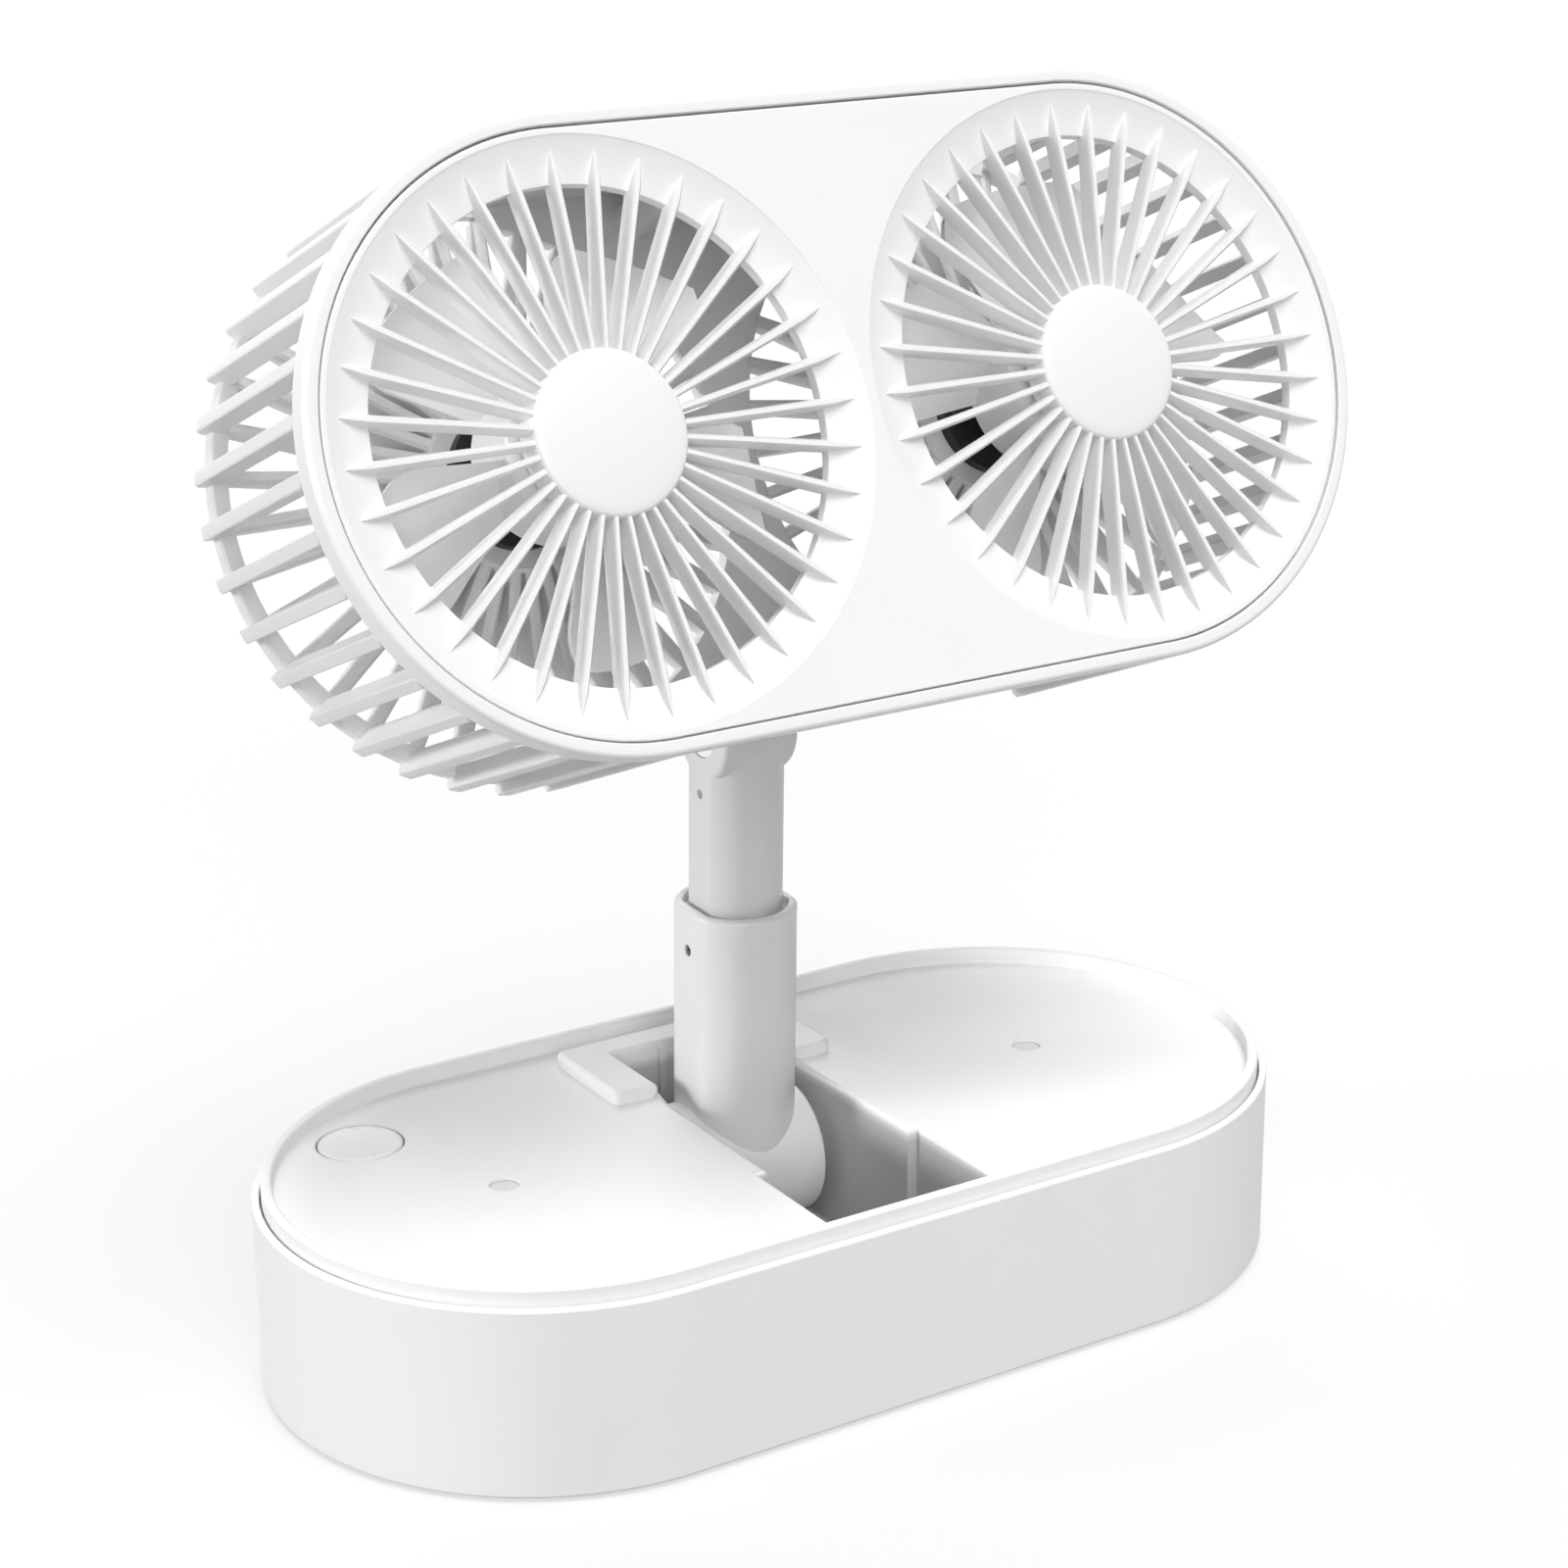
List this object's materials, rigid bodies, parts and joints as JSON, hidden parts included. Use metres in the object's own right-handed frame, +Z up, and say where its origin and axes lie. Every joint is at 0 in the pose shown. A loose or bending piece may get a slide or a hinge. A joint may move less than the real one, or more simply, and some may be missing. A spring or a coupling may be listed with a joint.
{
  "type": "usb table fan",
  "caption": "Twin-grille table fan with a wide rounded head that tilts on a leaning telescopic pole, which folds into the well of a flat rechargeable base with a push button.",
  "frame": {"origin": "middle of the underside of the anti-slip pad, on the table, between the centres of the base's two rounded ends", "axes": "+X along the base towards the end without the button, +Y to the back of the base, +Z up"},
  "size_m": [0.2064, 0.1064, 0.2287],
  "materials": {
    "base_white": "fine satin moulded white",
    "deck_white": "fine satin moulded white",
    "button_white": "smooth satin white",
    "pole_white": "fine satin moulded white",
    "panel_white": "fine satin moulded white",
    "bezel_white": "fine satin moulded white",
    "cage_white": "fine satin moulded white",
    "blade_white": "glossy moulded white",
    "bracket_white": "fine satin moulded white",
    "pad_grey": "matt grey silicone",
    "screw_steel": "plated steel",
    "pin_steel": "turned steel",
    "bush_nylon": "natural nylon",
    "holder_black": "black moulded plastic",
    "cell_wrap": "shrink sleeve",
    "board_green": "solder mask",
    "socket_steel": "stamped steel",
    "motor_dark": "dark painted metal"
  },
  "bodies": {
    "base": {"base_shell": "base_white", "bottom_plate": "base_white", "anti_slip_pad": "pad_grey", "bottom_screws": "screw_steel", "deck": "deck_white", "deck_screws": "screw_steel", "pivot_pin": "pin_steel", "pivot_washers": "bush_nylon", "battery_holder": "holder_black", "battery_cells": "cell_wrap", "control_board": "board_green", "board_screws": "screw_steel", "usb_socket": "socket_steel", "button_switch": "holder_black"},
    "button": {"power_button": "button_white", "switch_plunger": "holder_black"},
    "lower_pole": {"lower_tube": "pole_white", "guide_bush": "bush_nylon", "bush_pin": "pin_steel"},
    "upper_pole": {"upper_tube": "pole_white", "hinge_pin": "pin_steel", "hinge_nut": "pin_steel"},
    "head": {"head_bracket": "bracket_white", "bracket_screws": "screw_steel", "bezel_frame": "bezel_white", "front_panel": "panel_white", "rear_shell": "cage_white", "side_fins_left": "cage_white", "side_fins_right": "cage_white", "rear_grille_left": "cage_white", "rear_grille_right": "cage_white", "head_screws": "screw_steel", "motor_left": "motor_dark", "motor_right": "motor_dark", "motor_screws": "screw_steel", "motor_bearings": "pin_steel"},
    "left_fan": {"impeller_left": "blade_white", "shaft_left": "pin_steel"},
    "right_fan": {"impeller_right": "blade_white", "shaft_right": "pin_steel"}
  },
  "joints": [
    {"name": "pole_fold", "type": "hinge", "parent": "base", "child": "lower_pole", "pos_m": [0, 0.01684, 0.0208], "axis": [1, 0, 0], "range_deg": [-2.2, 60]},
    {"name": "pole_extend", "type": "slide", "parent": "lower_pole", "child": "upper_pole", "axis": [0, -0.0389, 0.9992], "range_m": [-0.025, 0]},
    {"name": "head_tilt", "type": "hinge", "parent": "upper_pole", "child": "head", "pos_m": [0, 0.01337, 0.10983], "axis": [1, 0, 0], "range_deg": [-125, 20]},
    {"name": "left_fan_spin", "type": "hinge", "parent": "head", "child": "left_fan", "pos_m": [-0.05, -0.03229, 0.17995], "axis": [0, -0.9235, 0.3835], "continuous": true},
    {"name": "right_fan_spin", "type": "hinge", "parent": "head", "child": "right_fan", "pos_m": [0.05, -0.03229, 0.17995], "axis": [0, -0.9235, 0.3835], "continuous": true},
    {"name": "button_press", "type": "slide", "parent": "base", "child": "button", "axis": [0, 0, 1], "range_m": [-0.001, 0], "stiffness_N_per_m": 1500, "springref_m": 0.0005}
  ]
}
